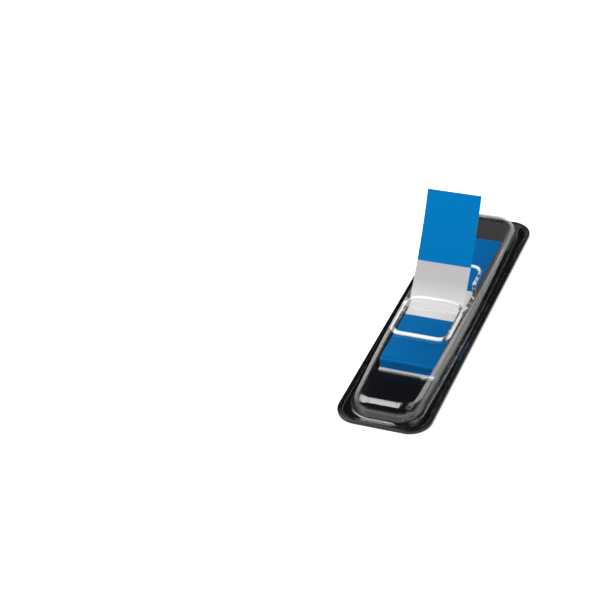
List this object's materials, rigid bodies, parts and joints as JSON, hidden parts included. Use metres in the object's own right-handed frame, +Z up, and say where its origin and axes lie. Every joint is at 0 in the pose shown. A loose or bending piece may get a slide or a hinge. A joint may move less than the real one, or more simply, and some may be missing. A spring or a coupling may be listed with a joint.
{
  "type": "z-fold flag dispenser",
  "caption": "Pocket pop-up dispenser of z-folded film flags: black tray, clear formed cover with an arched tongue and a window, and one flag raised through the mouth.",
  "frame": {"origin": "middle of the tray's underside, which stands on the table", "axes": "+X across the dispenser to its right side, +Y from its front end to its back end, +Z up"},
  "size_m": [0.0198, 0.0764, 0.0235],
  "materials": {
    "tray_plastic": "gloss",
    "clear_plastic": "clear gloss",
    "white_card": "matte",
    "flag_film": "satin"
  },
  "bodies": {
    "root": {"base_tray": "tray_plastic", "clear_cover": "clear_plastic", "backing_card": "white_card", "flag_pad": "flag_film", "raised_flag": "flag_film"}
  },
  "joints": []
}
